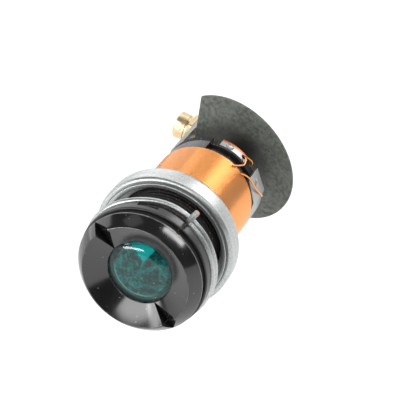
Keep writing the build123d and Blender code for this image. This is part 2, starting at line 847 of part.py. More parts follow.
with BuildPart() as centre_contact:
    with BuildSketch(across(insulator_front)):
        Circle(contact_head_radius)
    extrude(amount=contact_head_thickness)
    with BuildSketch(across(insulator_front)):
        Circle(contact_stem_radius)
    extrude(amount=-insulator_thickness - contact_stem_length)
centre_contact.part.label = "centre_contact"
export_step(centre_contact.part, "parts/centre_contact.step")
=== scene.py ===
from math import acos, cos, degrees, pi, radians, sin, tan

import bmesh
import bpy
from mathutils import Euler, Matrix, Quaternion, Vector


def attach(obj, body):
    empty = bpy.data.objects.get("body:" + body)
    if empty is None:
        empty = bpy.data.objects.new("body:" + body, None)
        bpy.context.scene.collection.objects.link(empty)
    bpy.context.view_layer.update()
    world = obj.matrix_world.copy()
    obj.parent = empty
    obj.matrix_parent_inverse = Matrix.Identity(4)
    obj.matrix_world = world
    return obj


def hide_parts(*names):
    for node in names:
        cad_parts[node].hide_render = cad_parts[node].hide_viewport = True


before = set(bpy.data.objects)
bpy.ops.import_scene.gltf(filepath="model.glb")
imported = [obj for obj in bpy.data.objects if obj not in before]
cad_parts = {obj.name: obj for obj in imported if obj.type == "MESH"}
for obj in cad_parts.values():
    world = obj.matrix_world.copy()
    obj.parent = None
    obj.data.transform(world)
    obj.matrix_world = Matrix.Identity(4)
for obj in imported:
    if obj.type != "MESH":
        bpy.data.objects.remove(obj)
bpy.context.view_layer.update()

# BODY
# One black phenolic moulding: flange, threaded neck, former for the winding, rear collar, back
# plate with a seat for the terminals, and the post that carries the disc. It was pressed in a mould.
mm = 0.001
flange_radius, flange_front, flange_round = 18.0, -3.2, 0.35
bezel_bore_radius, bezel_bore_end, bore_round = 12.58, 4.0, 0.2
neck_radius, neck_core_radius, neck_end, neck_round = 15.0, 14.55, 19.0, 0.4
former_radius, collar_front = 13.7, 40.0
collar_radius, collar_back, collar_round = 14.3, 44.7, 0.15
plate_radius, back_face, back_round = 13.4, 47.4, 0.25
chamber_radius, chamber_end = 9.6, 38.0
post_radius, post_end, post_root = 4.5, 62.6, 0.3
disc_lean_right, disc_lean_up = radians(12.9), radians(8.75)
notch_angle, notch_width, notch_length, notch_floor = 87.0, 5.8, 1.6, 15.6
recess_floor, recess_from, recess_to, recess_steps = 12.6, -37.0, 88.0, 96
cutter_margin = 1.0


def at(angle, radius, y):
    """A place at a clock angle and radius about the light's axis, from millimetres to metres."""
    return Vector((radius * cos(radians(angle)), y, radius * sin(radians(angle)))) * mm


def rounded(corners, steps=6):
    """A closed outline from (radius, y, rounding) corners, with an arc at each rounded one."""
    outline = []
    for i, (r, y, rounding) in enumerate(corners):
        corner = Vector((r, y))
        if not rounding:
            outline.append(corner)
            continue
        before = (Vector(corners[i - 1][:2]) - corner).normalized()
        after = (Vector(corners[(i + 1) % len(corners)][:2]) - corner).normalized()
        half = acos(max(-1, min(1, before.dot(after)))) / 2
        centre = corner + (before + after).normalized() * rounding / sin(half)
        start = corner + before * rounding / tan(half) - centre
        end = corner + after * rounding / tan(half) - centre
        turn = start.angle_signed(end)
        for step in range(steps + 1):
            angle = -turn * step / steps
            spoke = Vector((start.x * cos(angle) - start.y * sin(angle),
                            start.x * sin(angle) + start.y * cos(angle)))
            outline.append(centre + spoke)
    return outline


def mesh_of(made, name):
    """The mesh of a bmesh, which is freed."""
    mesh = bpy.data.meshes.new(name)
    made.to_mesh(mesh)
    made.free()
    return mesh


def turned(name, outline, turn=(0, 360), steps=192):
    """A closed mesh: the outline swept round the light's axis, all the way or between two angles."""
    whole = turn[1] - turn[0] == 360
    count = steps if whole else steps + 1
    made = bmesh.new()
    rings = []
    for i in range(count):
        angle = turn[0] + (turn[1] - turn[0]) * i / steps
        rings.append([made.verts.new(at(angle, r, y)) for r, y in outline])
    for i in range(steps):
        ring, following = rings[i], rings[(i + 1) % count]
        for j in range(len(outline)):
            k = (j + 1) % len(outline)
            made.faces.new((ring[j], ring[k], following[k], following[j]))
    if not whole:
        made.faces.new(rings[0])
        made.faces.new(rings[-1])
    bmesh.ops.remove_doubles(made, verts=made.verts, dist=0.0001 * mm)
    bmesh.ops.recalc_face_normals(made, faces=made.faces)
    return mesh_of(made, name)


def rear_cutter(name, floor, front, back):
    """A cutter for the rear of the moulding: from a floor radius outward, between the recess's ends."""
    outer = collar_radius + cutter_margin
    section = rounded([(floor, front, 0), (outer, front, 0), (outer, back, 0), (floor, back, 0)])
    return turned(name, section, (recess_from, recess_to), recess_steps)


def placed(name, data):
    """An object at the origin that holds this mesh, curve, light or camera."""
    made = bpy.data.objects.new(name, data)
    bpy.context.scene.collection.objects.link(made)
    return made


def plain_mesh(source):
    """The mesh that an object's modifiers give; the object itself is removed."""
    bpy.context.view_layer.update()
    seen = source.evaluated_get(bpy.context.evaluated_depsgraph_get())
    mesh = bpy.data.meshes.new_from_object(seen)
    bpy.data.objects.remove(source)
    return mesh


def carved(mesh, cutters):
    """The mesh with closed cutter meshes taken out of it."""
    block = placed("block", mesh)
    tools = [placed("cutter", cutter) for cutter in cutters]
    for tool in tools:
        cut = block.modifiers.new("cut", "BOOLEAN")
        cut.operation = "DIFFERENCE"
        cut.solver = "EXACT"
        cut.object = tool
    result = plain_mesh(block)
    for tool in tools:
        bpy.data.objects.remove(tool)
    return result


def slab(name, centre, axes, sizes):
    """A closed box given by its centre, three directions and three sizes in millimetres."""
    made = bmesh.new()
    bmesh.ops.create_cube(made, size=1)
    for vertex in made.verts:
        local = vertex.co.copy()
        vertex.co = centre + sum((axes[i] * local[i] * sizes[i] * mm for i in range(3)), Vector())
    bmesh.ops.recalc_face_normals(made, faces=made.faces)
    return mesh_of(made, name)


def linear(colour):
    """An sRGB hex colour as the linear values that a shader takes."""
    parts = [int(colour[i:i + 2], 16) / 255 for i in (1, 3, 5)]
    return (*[c / 12.92 if c <= 0.04045 else ((c + 0.055) / 1.055) ** 2.4 for c in parts], 1.0)


def add(tree, kind, settings=(), inputs=()):
    """Add a node: settings are its own values, inputs are values or other nodes' outputs to link."""
    node = tree.nodes.new(kind)
    for key, value in dict(settings).items():
        setattr(node, key, value)
    for key, value in dict(inputs).items():
        if isinstance(value, bpy.types.NodeSocket):
            tree.links.new(value, node.inputs[key])
        else:
            node.inputs[key].default_value = value
    return node


def new_finish(name):
    """An empty material and its node tree."""
    made = bpy.data.materials.new(name)
    made.use_nodes = True
    made.node_tree.nodes.clear()
    return made, made.node_tree


def specks(tree, place, spacing, radius, left_out):
    """A mask of scattered specks: their radius is a share of their spacing, and a share is left out."""
    cells = add(tree, "ShaderNodeTexVoronoi", {}, {"Vector": place, "Scale": 1 / (spacing * mm)})
    near = add(tree, "ShaderNodeMath", {"operation": "LESS_THAN"}, {0: cells.outputs["Distance"], 1: radius})
    chance = add(tree, "ShaderNodeSeparateColor", {}, {0: cells.outputs["Color"]})
    kept = add(tree, "ShaderNodeMath", {"operation": "GREATER_THAN"}, {0: chance.outputs[0], 1: left_out})
    return add(tree, "ShaderNodeMath", {"operation": "MULTIPLY"}, {0: near.outputs[0], 1: kept.outputs[0]})


def from_axis(tree, place):
    """Each point's way out from the light's axis, and its distance from it."""
    flat = add(tree, "ShaderNodeVectorMath", {"operation": "MULTIPLY"}, {0: place, 1: (1, 0, 1)})
    radius = add(tree, "ShaderNodeVectorMath", {"operation": "LENGTH"}, {0: flat.outputs[0]})
    return flat.outputs[0], radius.outputs["Value"]


def shown(name, mesh, finish, body, nodes=(), bevel=0.0, sharp=35):
    """A finished piece: smooth, softened along its edges, riding on its body for its CAD nodes."""
    piece = placed(name, mesh)
    mesh.materials.clear()
    mesh.materials.append(finish)
    mesh.polygons.foreach_set("use_smooth", [True] * len(mesh.polygons))
    mesh.set_sharp_from_angle(angle=radians(sharp))
    if bevel:
        edge = piece.modifiers.new("softened edges", "BEVEL")
        edge.width = bevel * mm
        edge.segments = 2
        edge.limit_method = "ANGLE"
        edge.angle_limit = radians(sharp)
        edge.use_clamp_overlap = True
        edge.harden_normals = True
    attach(piece, body)
    if nodes:
        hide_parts(*nodes)


# Black phenolic, moulded: glossy where the mould was polished, with faint rings round the axis,
# a dull bloom in patches and pale dust in specks. The neck and the rear plate are dull, and crumbs
# of copper lie on them.
phenolic, tree = new_finish("Moulded black phenolic")
ring_pitch, ring_depth, bloom_size = 0.32, 0.02, 3.0
rear_blur, neck_inset = 0.1, 0.2
place = add(tree, "ShaderNodeTexCoord").outputs["Object"]
along = add(tree, "ShaderNodeSeparateXYZ", {}, {0: place}).outputs["Y"]
bloom = add(tree, "ShaderNodeTexNoise", {}, {"Vector": place, "Scale": 1 / (bloom_size * mm), "Detail": 6})
rings = add(tree, "ShaderNodeTexWave", {"bands_direction": "Y"}, {
    "Vector": place, "Scale": pi / (10 * ring_pitch * mm), "Distortion": 1.2, "Detail Scale": 2.0})
dust = specks(tree, place, spacing=1.3, radius=0.09, left_out=0.5)
black = add(tree, "ShaderNodeMix", {"data_type": "RGBA"}, {
    0: bloom.outputs[0], 6: linear("#100f0f"), 7: linear("#222120")})
dusted = add(tree, "ShaderNodeMix", {"data_type": "RGBA"}, {
    0: dust.outputs[0], 6: black.outputs[2], 7: linear("#b39c80")})
bits = specks(tree, place, spacing=0.8, radius=0.24, left_out=0.62)
at_rear = add(tree, "ShaderNodeMath", {"operation": "GREATER_THAN"}, {0: along, 1: collar_front * mm})
at_neck = add(tree, "ShaderNodeMath", {"operation": "COMPARE"}, {
    0: along, 1: neck_end / 2 * mm, 2: (neck_end / 2 - neck_inset) * mm})
unwiped = add(tree, "ShaderNodeMath", {"operation": "MAXIMUM"}, {
    0: at_rear.outputs[0], 1: at_neck.outputs[0]})
crumb = add(tree, "ShaderNodeMath", {"operation": "MULTIPLY"}, {0: bits.outputs[0], 1: unwiped.outputs[0]})
littered = add(tree, "ShaderNodeMix", {"data_type": "RGBA"}, {
    0: crumb.outputs[0], 6: dusted.outputs[2], 7: linear("#8a5d40")})
rear = add(tree, "ShaderNodeMapRange", {}, {
    0: along, 1: (collar_back - rear_blur) * mm, 2: (collar_back + rear_blur) * mm, 3: 0.0, 4: 0.6})
gloss = add(tree, "ShaderNodeMapRange", {}, {0: bloom.outputs[0], 3: 0.18, 4: 0.42})
neck_dull = add(tree, "ShaderNodeMath", {"operation": "MULTIPLY_ADD"}, {
    0: at_neck.outputs[0], 1: 0.3, 2: rear.outputs[0]})
dulled = add(tree, "ShaderNodeMath", {"operation": "ADD"}, {0: gloss.outputs[0], 1: neck_dull.outputs[0]})
relief = add(tree, "ShaderNodeBump", {}, {
    "Strength": 0.25, "Distance": ring_depth * mm, "Height": rings.outputs[1]})
skin = add(tree, "ShaderNodeBsdfPrincipled", {}, {
    "Base Color": littered.outputs[2], "Roughness": dulled.outputs[0], "Normal": relief.outputs[0],
    "IOR": 1.6})
add(tree, "ShaderNodeOutputMaterial", {}, {0: skin.outputs[0]})

body_outline = rounded([
    (bezel_bore_radius, flange_front, bore_round),
    (flange_radius, flange_front, flange_round),
    (flange_radius, 0, flange_round),
    (neck_core_radius, 0, 0),
    (neck_core_radius, neck_end, neck_round),
    (former_radius, neck_end, 0),
    (former_radius, collar_front, 0),
    (collar_radius, collar_front, collar_round),
    (collar_radius, back_face, back_round),
    (post_radius, back_face, post_root),
    (post_radius, post_end, 0),
    (0, post_end, 0),
    (0, chamber_end, 0),
    (chamber_radius, chamber_end, 0),
    (chamber_radius, bezel_bore_end, 0),
    (bezel_bore_radius, bezel_bore_end, 0),
])
moulding = turned("body_moulding", body_outline)
for vertex in moulding.vertices:
    if vertex.co.y > (back_face + post_end) / 2 * mm:
        vertex.co.y -= vertex.co.x * tan(disc_lean_right) + vertex.co.z * tan(disc_lean_up)
outward = at(notch_angle, 1, 0).normalized()
notch = slab("notch", at(notch_angle, notch_floor + flange_radius / 2, 0),
             (outward, Vector((0, 1, 0)), outward.cross(Vector((0, 1, 0)))),
             (flange_radius, 2 * notch_length, notch_width))
recess = rear_cutter("recess", recess_floor, collar_front, collar_back)
seat = rear_cutter("seat", plate_radius, collar_back, back_face + cutter_margin)
moulding = carved(moulding, [notch, recess, seat])
shown("body_moulding", moulding, phenolic, "body", ["body"], bevel=0.08)

# NECK THREAD
# The right-hand thread moulded on the neck, on which the nut runs: one helical ridge of 1.5 mm
# pitch, from behind the spring ring to the neck's end.
thread_pitch, thread_start, thread_finish, ridge_radius = 1.5, 3.6, 18.4, 0.62


def new_nodes(name, inputs):
    """An empty geometry node tree with these named inputs, and the sockets that give them."""
    made = bpy.data.node_groups.new(name, "GeometryNodeTree")
    made.is_modifier = True
    made.interface.new_socket(name="Geometry", in_out="OUTPUT", socket_type="NodeSocketGeometry")
    for label, kind in inputs.items():
        made.interface.new_socket(name=label, in_out="INPUT", socket_type="NodeSocket" + kind)
    return made, add(made, "NodeGroupInput").outputs


def end_nodes(made, geometry, finish):
    """The end of a geometry node tree: real, smooth geometry in one finish."""
    real = add(made, "GeometryNodeRealizeInstances", {}, {"Geometry": geometry})
    smooth = add(made, "GeometryNodeSetShadeSmooth", {}, {"Geometry": real.outputs[0]})
    coated = add(made, "GeometryNodeSetMaterial", {}, {"Geometry": smooth.outputs[0], "Material": finish})
    add(made, "NodeGroupOutput", {}, {"Geometry": coated.outputs[0]})


def coil_tree():
    """Geometry nodes for a wire or ridge wound in an even helix round the light's axis."""
    made, given = new_nodes("Helical coil", {
        "Turns": "Float", "Coil radius": "Float", "Start": "Float", "Length": "Float",
        "Section radius": "Float", "Section flatness": "Float", "Section sides": "Int",
        "Steps a turn": "Int", "Finish": "Material"})
    helix = add(made, "GeometryNodeCurveSpiral", {}, {
        "Resolution": given["Steps a turn"], "Rotations": given["Turns"],
        "Start Radius": given["Coil radius"], "End Radius": given["Coil radius"], "Height": given["Length"]})
    upright = add(made, "GeometryNodeSetCurveNormal", {"mode": "Z_UP"}, {"Curve": helix.outputs[0]})
    section = add(made, "GeometryNodeCurvePrimitiveCircle", {"mode": "RADIUS"}, {
        "Resolution": given["Section sides"], "Radius": given["Section radius"]})
    press = add(made, "ShaderNodeCombineXYZ", {}, {"X": given["Section flatness"], "Y": 1.0, "Z": 1.0})
    pressed = add(made, "GeometryNodeTransform", {}, {
        "Geometry": section.outputs[0], "Scale": press.outputs[0]})
    tube = add(made, "GeometryNodeCurveToMesh", {}, {
        "Curve": upright.outputs[0], "Profile Curve": pressed.outputs[0], "Fill Caps": True})
    shift = add(made, "ShaderNodeCombineXYZ", {}, {"Y": given["Start"]})
    laid = add(made, "GeometryNodeTransform", {}, {
        "Geometry": tube.outputs[0], "Translation": shift.outputs[0], "Rotation": Euler((-pi / 2, 0, 0))})
    end_nodes(made, laid.outputs[0], given["Finish"])
    return made


def grown(name, tree, inputs, start=None):
    """The plain mesh that a geometry node tree makes from these inputs."""
    source = placed(name + "_source", start or bpy.data.meshes.new(name + "_start"))
    nodes = source.modifiers.new("nodes", "NODES")
    nodes.node_group = tree
    for socket in tree.interface.items_tree:
        if socket.in_out == "INPUT" and socket.name in inputs:
            nodes[socket.identifier] = inputs[socket.name]
    return plain_mesh(source)


helical_coil = coil_tree()
thread_length = thread_finish - thread_start
thread = grown("neck_thread", helical_coil, {
    "Turns": thread_length / thread_pitch, "Coil radius": (neck_radius - ridge_radius) * mm,
    "Start": thread_start * mm, "Length": thread_length * mm, "Section radius": ridge_radius * mm,
    "Section flatness": 1.0, "Section sides": 12, "Steps a turn": 96, "Finish": phenolic})
shown("neck_thread", thread, phenolic, "body")

# SPRING RING
# About one and a half turns of bright zinc-plated spring wire, loose on the neck behind the flange,
# with one end bent out as a tang. The tang's cut end shows bare steel.
ring_wire_radius, ring_radius = 0.8, 17.8
ring_front, ring_back = 0.85, 2.95
tang_angle, tang_reach, tang_bend = 51.8, 4.5, 1.5
step_from, step_to, ring_end = 112.0, 64.0, -85.0


def wire_tree():
    """Geometry nodes for a round wire along a path."""
    made, given = new_nodes("Round wire", {
        "Path": "Geometry", "Wire radius": "Float", "Sides": "Int", "Finish": "Material"})
    section = add(made, "GeometryNodeCurvePrimitiveCircle", {"mode": "RADIUS"}, {
        "Resolution": given["Sides"], "Radius": given["Wire radius"]})
    tube = add(made, "GeometryNodeCurveToMesh", {}, {
        "Curve": given["Path"], "Profile Curve": section.outputs[0], "Fill Caps": True})
    end_nodes(made, tube.outputs[0], given["Finish"])
    return made


def path_curve(name, points, kind="POLY"):
    """A curve through points in metres, or drawn by them where its kind is NURBS."""
    curve = bpy.data.curves.new(name, "CURVE")
    curve.dimensions = "3D"
    line = curve.splines.new(kind)
    line.points.add(len(points) - 1)
    for point, place in zip(line.points, points):
        point.co = (*place, 1)
    if kind == "NURBS":
        line.order_u = 3
        line.use_endpoint_u = True
        line.resolution_u = 8
    return curve


# Bright zinc: a bluish white metal skin, drawn into pale and darker streaks round the axis by the
# turning, with a fine crystal grain that breaks up the reflections.
zinc, tree = new_finish("Bright zinc plate")
streak_width, streak_length, crystal_size, crystal_depth, cut_depth = 0.9, 12.0, 0.4, 0.03, 0.05
place = add(tree, "ShaderNodeTexCoord").outputs["Object"]
flat, radius = from_axis(tree, place)
spoke = add(tree, "ShaderNodeVectorMath", {"operation": "NORMALIZE"}, {0: flat})
turn = add(tree, "ShaderNodeVectorMath", {"operation": "SCALE"}, {
    0: spoke.outputs[0], "Scale": neck_radius / streak_length})
across = add(tree, "ShaderNodeMath", {"operation": "MULTIPLY"}, {0: radius, 1: 1 / (streak_width * mm)})
depth = add(tree, "ShaderNodeMath", {"operation": "MULTIPLY"}, {
    0: add(tree, "ShaderNodeSeparateXYZ", {}, {0: place}).outputs["Y"], 1: 1 / (streak_width * mm)})
lanes = add(tree, "ShaderNodeMath", {"operation": "ADD"}, {0: across.outputs[0], 1: depth.outputs[0]})
lane_place = add(tree, "ShaderNodeVectorMath", {"operation": "ADD"}, {
    0: turn.outputs[0], 1: add(tree, "ShaderNodeCombineXYZ", {}, {"Y": lanes.outputs[0]}).outputs[0]})
streaks = add(tree, "ShaderNodeTexNoise", {}, {
    "Vector": lane_place.outputs[0], "Scale": 1.0, "Detail": 4, "Roughness": 0.6})
crystals = add(tree, "ShaderNodeTexNoise", {}, {
    "Vector": place, "Scale": 1 / (crystal_size * mm), "Detail": 5, "Roughness": 0.7})
mottled = add(tree, "ShaderNodeMapRange", {}, {0: crystals.outputs[0], 1: 0.35, 2: 0.65})
drawn = add(tree, "ShaderNodeMapRange", {}, {0: streaks.outputs[0], 1: 0.3, 2: 0.7, 3: 0.2, 4: 0.8})
blotched = add(tree, "ShaderNodeMix", {"data_type": "FLOAT"}, {
    0: 0.4, 2: mottled.outputs[0], 3: drawn.outputs[0]})
plate = add(tree, "ShaderNodeMix", {"data_type": "RGBA"}, {
    0: blotched.outputs[0], 6: linear("#949897"), 7: linear("#dcdfde")})
gloss = add(tree, "ShaderNodeMapRange", {}, {0: streaks.outputs[0], 1: 0.3, 2: 0.7, 3: 0.42, 4: 0.3})
relief = add(tree, "ShaderNodeBump", {}, {
    "Strength": 0.3, "Distance": crystal_depth * mm, "Height": crystals.outputs[0]})
cut_end = add(tree, "ShaderNodeMath", {"operation": "GREATER_THAN"}, {
    0: radius, 1: (ring_radius + tang_reach - cut_depth) * mm})
bared = add(tree, "ShaderNodeMix", {"data_type": "RGBA"}, {
    0: cut_end.outputs[0], 6: plate.outputs[2], 7: linear("#8d7465")})
skin = add(tree, "ShaderNodeBsdfPrincipled", {}, {
    "Base Color": bared.outputs[2], "Roughness": gloss.outputs[0], "Normal": relief.outputs[0],
    "Metallic": 0.9})
add(tree, "ShaderNodeOutputMaterial", {}, {0: skin.outputs[0]})

bend_start = ring_radius + tang_bend
bend_angle = tang_angle - degrees(tang_bend / bend_start)
ring_points = [at(tang_angle, ring_radius + tang_reach, ring_front), at(tang_angle, bend_start, ring_front)]
bend_steps, front_steps, step_steps, back_steps = 8, 150, 24, 76
for step in range(1, bend_steps):
    share = step / bend_steps
    ring_points.append(at(tang_angle - share * share * (tang_angle - bend_angle),
                          ring_radius + tang_bend * (1 - share) ** 2, ring_front))
for step in range(front_steps + 1):
    angle = bend_angle + (step_from - 360 - bend_angle) * step / front_steps
    ring_points.append(at(angle, ring_radius, ring_front))
for step in range(1, step_steps + 1):
    share = step / step_steps
    rise = share * share * (3 - 2 * share)
    ring_points.append(at(step_from + share * (step_to - step_from), ring_radius,
                          ring_front + rise * (ring_back - ring_front)))
for step in range(1, back_steps + 1):
    ring_points.append(at(step_to + (ring_end - step_to) * step / back_steps, ring_radius, ring_back))
round_wire = wire_tree()
ring_mesh = grown("ring_wire", round_wire, {
    "Wire radius": ring_wire_radius * mm, "Sides": 20, "Finish": zinc}, path_curve("ring_path", ring_points))
shown("ring_wire", ring_mesh, zinc, "body", ["spring_ring"], bevel=0.12, sharp=50)

# CLAMP NUT
# A rounded zinc-plated casting that runs on the neck, relieved in front of its thread, with a thrust
# washer let into its front face. The washer stays still against the panel while the nut turns.
nut_radius, nut_bore, nut_front, nut_back, relief_bottom = 19.7, 15.08, 10.4, 18.4, 13.8
relief_round, nut_front_round, nut_back_round, nut_bore_round = 0.2, 1.0, 3.0, 0.3
washer_inner, washer_outer, washer_front, washer_back = 17.0, 18.1, 10.0, 11.2
washer_front_round, washer_back_round = 0.2, 0.1
seat_gap, seat_round = 0.05, 0.15
nut_outline = rounded([
    (nut_bore, relief_bottom, relief_round),
    (washer_inner, relief_bottom, 0),
    (washer_inner, washer_back + seat_gap, 0),
    (washer_outer + seat_gap, washer_back + seat_gap, 0),
    (washer_outer + seat_gap, nut_front, seat_round),
    (nut_radius, nut_front, nut_front_round),
    (nut_radius, nut_back, nut_back_round),
    (nut_bore, nut_back, nut_bore_round),
], 10)
shown("nut_casting", turned("nut_casting", nut_outline), zinc, "nut", ["clamp_nut"])
washer_outline = rounded([
    (washer_inner, washer_front, washer_front_round), (washer_outer, washer_front, washer_front_round),
    (washer_outer, washer_back, washer_back_round), (washer_inner, washer_back, washer_back_round)])
washer_mesh = turned("washer_ring", washer_outline)
shown("washer_ring", washer_mesh, zinc, "nut_washer", ["thrust_washer"])

# WINDING
# The series resistor: one close layer of copper-coloured enamelled wire on the former.
# Each turn lies pressed against the last, so the light breaks along it in fine lines.
winding_radius, winding_front, winding_back = 14.75, 19.3, 39.7
turn_pitch, turn_radius, turn_flatness = 0.42, 0.22, 0.4

# Enamelled copper: a bright orange metal under a clear enamel, which lays a pale sheen over it.
# The real wire is thinner still, and is drawn thick enough for its turns to show.
copper, tree = new_finish("Enamelled copper wire")
stain_size, fleck_size = 4.0, 0.5
place = add(tree, "ShaderNodeTexCoord").outputs["Object"]
stains = add(tree, "ShaderNodeTexNoise", {}, {"Vector": place, "Scale": 1 / (stain_size * mm), "Detail": 5})
flecks = add(tree, "ShaderNodeTexNoise", {}, {"Vector": place, "Scale": 1 / (fleck_size * mm), "Detail": 3})
warm = add(tree, "ShaderNodeMix", {"data_type": "RGBA"}, {
    0: flecks.outputs[0], 6: linear("#f0984a"), 7: linear("#ffae66")})
aged = add(tree, "ShaderNodeMix", {"data_type": "RGBA"}, {
    0: stains.outputs[0], 6: warm.outputs[2], 7: linear("#f5a056")})
gloss = add(tree, "ShaderNodeMapRange", {}, {0: stains.outputs[0], 3: 0.14, 4: 0.24})
skin = add(tree, "ShaderNodeBsdfPrincipled", {}, {
    "Base Color": aged.outputs[2], "Roughness": gloss.outputs[0], "Metallic": 1.0,
    "Coat Weight": 0.2, "Coat Roughness": 0.1})
add(tree, "ShaderNodeOutputMaterial", {}, {0: skin.outputs[0]})

winding_length = winding_back - winding_front - 2 * turn_radius
turns = grown("winding_turns", helical_coil, {
    "Turns": winding_length / turn_pitch, "Coil radius": (winding_radius - turn_radius * turn_flatness) * mm,
    "Start": (winding_front + turn_radius) * mm, "Length": winding_length * mm,
    "Section radius": turn_radius * mm, "Section flatness": turn_flatness, "Section sides": 12,
    "Steps a turn": 96, "Finish": copper})
shown("winding_turns", turns, copper, "body", ["winding"], sharp=80)

# TERMINALS
# A curved lug and a folded tab on the rim of the back plate, and a strip that runs back past the
# disc. All three are tinned copper strip, stamped, bent and riveted to the moulding.


def trimmed(node):
    """A copy of a CAD node's mesh with its triangles joined into clean faces."""
    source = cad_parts[node].data
    made = bmesh.new()
    corners = [made.verts.new(v.co) for v in source.vertices]
    for face in source.polygons:
        made.faces.new([corners[i] for i in face.vertices])
    bmesh.ops.remove_doubles(made, verts=made.verts, dist=0.001 * mm)
    bmesh.ops.dissolve_limit(made, angle_limit=radians(1), verts=made.verts, edges=made.edges)
    return mesh_of(made, node)


# Tinned copper: a dull silver skin, whiter where the solder ran thick and copper where it wore off.
tinned, tree = new_finish("Tinned copper strip")
run_size, tin_grain_size, tin_grain_depth = 2.2, 0.25, 0.03
place = add(tree, "ShaderNodeTexCoord").outputs["Object"]
runs = add(tree, "ShaderNodeTexNoise", {}, {"Vector": place, "Scale": 1 / (run_size * mm), "Detail": 6})
grain = add(tree, "ShaderNodeTexNoise", {}, {
    "Vector": place, "Scale": 1 / (tin_grain_size * mm), "Detail": 3})
bare = add(tree, "ShaderNodeMapRange", {"interpolation_type": "SMOOTHSTEP"}, {
    0: runs.outputs[0], 1: 0.62, 2: 0.74, 3: 0.0, 4: 0.7})
silver = add(tree, "ShaderNodeMix", {"data_type": "RGBA"}, {
    0: grain.outputs[0], 6: linear("#8d908e"), 7: linear("#c9cbc9")})
worn = add(tree, "ShaderNodeMix", {"data_type": "RGBA"}, {
    0: bare.outputs[0], 6: silver.outputs[2], 7: linear("#d88858")})
gloss = add(tree, "ShaderNodeMapRange", {}, {0: runs.outputs[0], 3: 0.25, 4: 0.5})
relief = add(tree, "ShaderNodeBump", {}, {
    "Strength": 0.3, "Distance": tin_grain_depth * mm, "Height": grain.outputs[0]})
skin = add(tree, "ShaderNodeBsdfPrincipled", {}, {
    "Base Color": worn.outputs[2], "Roughness": gloss.outputs[0], "Normal": relief.outputs[0],
    "Metallic": 0.8})
add(tree, "ShaderNodeOutputMaterial", {}, {0: skin.outputs[0]})

# The lug is the same strip, but its back edge was sheared after tinning and shows bare copper.
bare_edge, bare_blur = 47.1, 0.25
sheared = tinned.copy()
sheared.name = "Tinned copper lug, bare at its edge"
tree = sheared.node_tree
skin = next(node for node in tree.nodes if node.type == "BSDF_PRINCIPLED")
silver = skin.inputs["Base Color"].links[0].from_socket
place = add(tree, "ShaderNodeTexCoord").outputs["Object"]
along = add(tree, "ShaderNodeSeparateXYZ", {}, {0: place}).outputs["Y"]
edge = add(tree, "ShaderNodeMapRange", {}, {
    0: along, 1: (bare_edge - bare_blur) * mm, 2: (bare_edge + bare_blur) * mm})
two_tone = add(tree, "ShaderNodeMix", {"data_type": "RGBA"}, {
    0: edge.outputs[0], 6: silver, 7: linear("#c0683a")})
tree.links.new(two_tone.outputs[2], skin.inputs["Base Color"])

for name, node, finish in (("lug_strip", "solder_lug", sheared), ("tab_plate", "tab_terminal", tinned),
                           ("rear_strip", "terminal_strip", tinned)):
    shown(name, trimmed(node), finish, "body", [node], bevel=0.1)

# RIVETS
# The three tinned rivets that hold the lug, the tab and the strip: shallow domed heads, set cold,
# each on the outer face of what it holds. A seat is its place, the way it faces and the head's radius.
rivet_seats = {
    "lug": (at(66, 14.15, 46.05), at(66, 1, 0), 1.2),
    "tab": (at(11.5, 14.25, 46.05), at(11.5, 1, 0), 1.5),
    "foot": (at(164, 8.5, 48.5), Vector((0, mm, 0)), 1.7),
}
rivet_head_height, rivet_sides, rivet_rings = 0.4, 32, 8


def rivet_tree():
    """Geometry nodes that set a domed head on each point, along the way that the point faces."""
    made, given = new_nodes("Rivet heads", {
        "Seats": "Geometry", "Head height": "Float", "Sides": "Int", "Rings": "Int", "Finish": "Material"})
    facing = add(made, "GeometryNodeInputNamedAttribute", {"data_type": "FLOAT_VECTOR"}, {"Name": "facing"})
    size = add(made, "GeometryNodeInputNamedAttribute", {"data_type": "FLOAT"}, {"Name": "head radius"})
    ball = add(made, "GeometryNodeMeshUVSphere", {}, {
        "Segments": given["Sides"], "Rings": given["Rings"], "Radius": 1.0})
    turned_out = add(made, "FunctionNodeAlignRotationToVector", {"axis": "Z"}, {"Vector": facing.outputs[0]})
    stretch = add(made, "ShaderNodeCombineXYZ", {}, {
        "X": size.outputs[0], "Y": size.outputs[0], "Z": given["Head height"]})
    heads = add(made, "GeometryNodeInstanceOnPoints", {}, {
        "Points": given["Seats"], "Instance": ball.outputs["Mesh"], "Rotation": turned_out.outputs[0],
        "Scale": stretch.outputs[0]})
    end_nodes(made, heads.outputs[0], given["Finish"])
    return made


seats = bpy.data.meshes.new("rivet_seats")
seats.from_pydata([spot for spot, _, _ in rivet_seats.values()], [], [])
seats.attributes.new("facing", "FLOAT_VECTOR", "POINT")
seats.attributes.new("head radius", "FLOAT", "POINT")
for i, (_, out, size) in enumerate(rivet_seats.values()):
    seats.attributes["facing"].data[i].vector = out.normalized()
    seats.attributes["head radius"].data[i].value = size * mm
rivets = grown("rivet_set", rivet_tree(), {
    "Head height": rivet_head_height * mm, "Sides": rivet_sides, "Rings": rivet_rings,
    "Finish": tinned}, seats)
shown("rivet_set", rivets, tinned, "body", ["terminal_rivets"], sharp=80)

